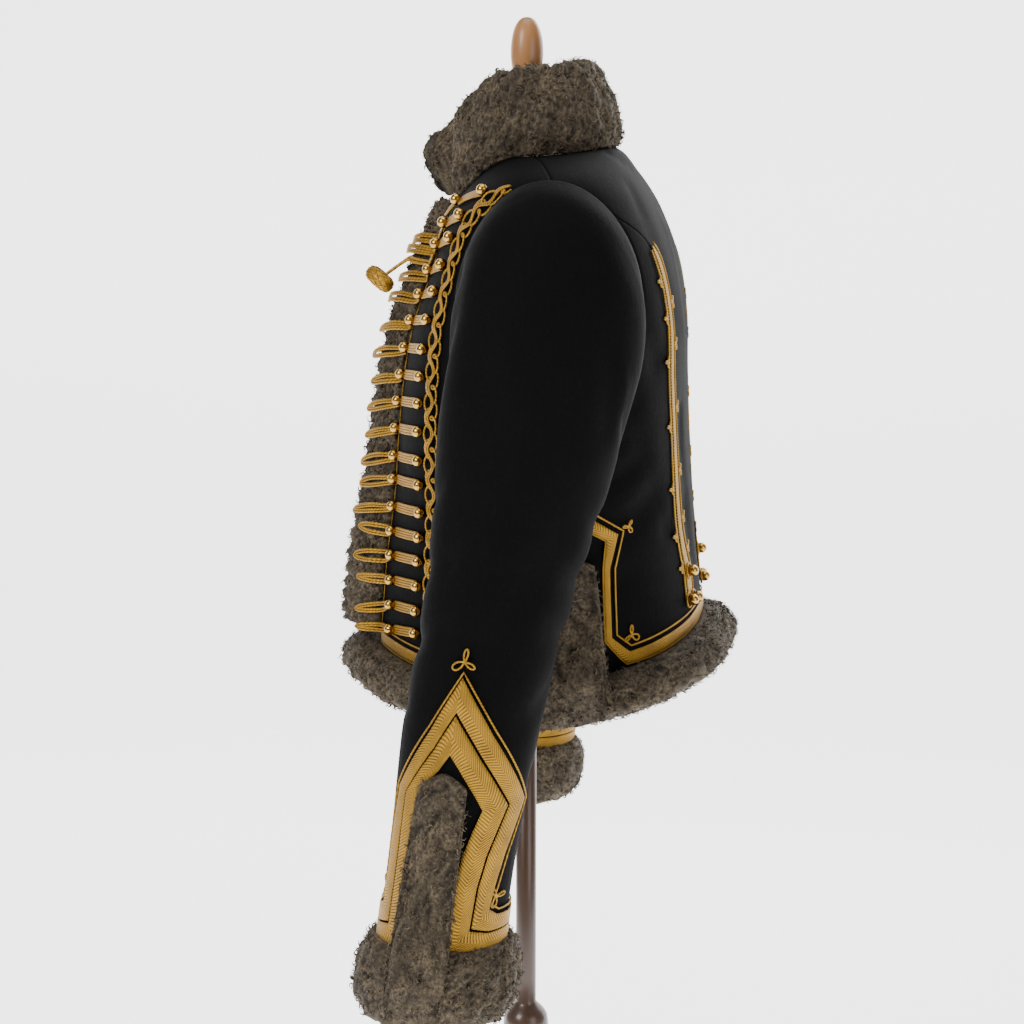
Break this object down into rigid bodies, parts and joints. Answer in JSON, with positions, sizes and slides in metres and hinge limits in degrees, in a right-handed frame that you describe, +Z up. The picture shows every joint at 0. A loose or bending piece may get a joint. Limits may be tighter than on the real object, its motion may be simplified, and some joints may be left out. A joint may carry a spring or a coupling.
{
  "type": "hussar pelisse coat on a limbless dress form stand",
  "caption": "Short braided cavalry coat with fur collar, edges and cuffs, corded loops and ball buttons, worn filled out on a limbless dress form with a turned pole stand.",
  "frame": {"origin": "middle of the stand's flat foot, on the floor", "axes": "+Z up along the pole, -Y the coat's front, +X the wearer's left"},
  "size_m": [0.654, 0.3527, 1.5551],
  "materials": {
    "broadcloth": "matt black fulled wool broadcloth",
    "lambskin": "grey-brown curled lamb fur",
    "gold_lace": "gold thread cord, braid and woven lace with polished ball buttons",
    "linen": "plain woven cover, smooth",
    "pole_wood": "turned wood, satin varnish",
    "light_wood": "light turned wood, satin"
  },
  "bodies": {
    "root": {"back": "broadcloth", "side_back_l": "broadcloth", "side_back_r": "broadcloth", "front_l": "broadcloth", "front_r": "broadcloth", "sleeve_l": "broadcloth", "sleeve_r": "broadcloth", "collar": "lambskin", "hem_fur": "lambskin", "front_fur_l": "lambskin", "front_fur_r": "lambskin", "cuff_fur_l": "lambskin", "cuff_fur_r": "lambskin", "chain_l": "gold_lace", "chain_r": "gold_lace", "cuff_lace_l": "gold_lace", "cuff_lace_r": "gold_lace", "back_lace_l": "gold_lace", "back_lace_r": "gold_lace", "hem_lace": "gold_lace", "toggle": "gold_lace", "row_l_01": "gold_lace", "row_l_02": "gold_lace", "row_l_03": "gold_lace", "row_l_04": "gold_lace", "row_l_05": "gold_lace", "row_l_06": "gold_lace", "row_l_07": "gold_lace", "row_l_08": "gold_lace", "row_l_09": "gold_lace", "row_l_10": "gold_lace", "row_l_11": "gold_lace", "row_l_12": "gold_lace", "row_l_13": "gold_lace", "row_l_14": "gold_lace", "row_l_15": "gold_lace", "row_l_16": "gold_lace", "row_l_17": "gold_lace", "row_l_18": "gold_lace", "row_r_01": "gold_lace", "row_r_02": "gold_lace", "row_r_03": "gold_lace", "row_r_04": "gold_lace", "row_r_05": "gold_lace", "row_r_06": "gold_lace", "row_r_07": "gold_lace", "row_r_08": "gold_lace", "row_r_09": "gold_lace", "row_r_10": "gold_lace", "row_r_11": "gold_lace", "row_r_12": "gold_lace", "row_r_13": "gold_lace", "row_r_14": "gold_lace", "row_r_15": "gold_lace", "row_r_16": "gold_lace", "row_r_17": "gold_lace", "row_r_18": "gold_lace", "dress_form": "linen", "stand": "pole_wood", "finial": "light_wood"}
  },
  "joints": []
}
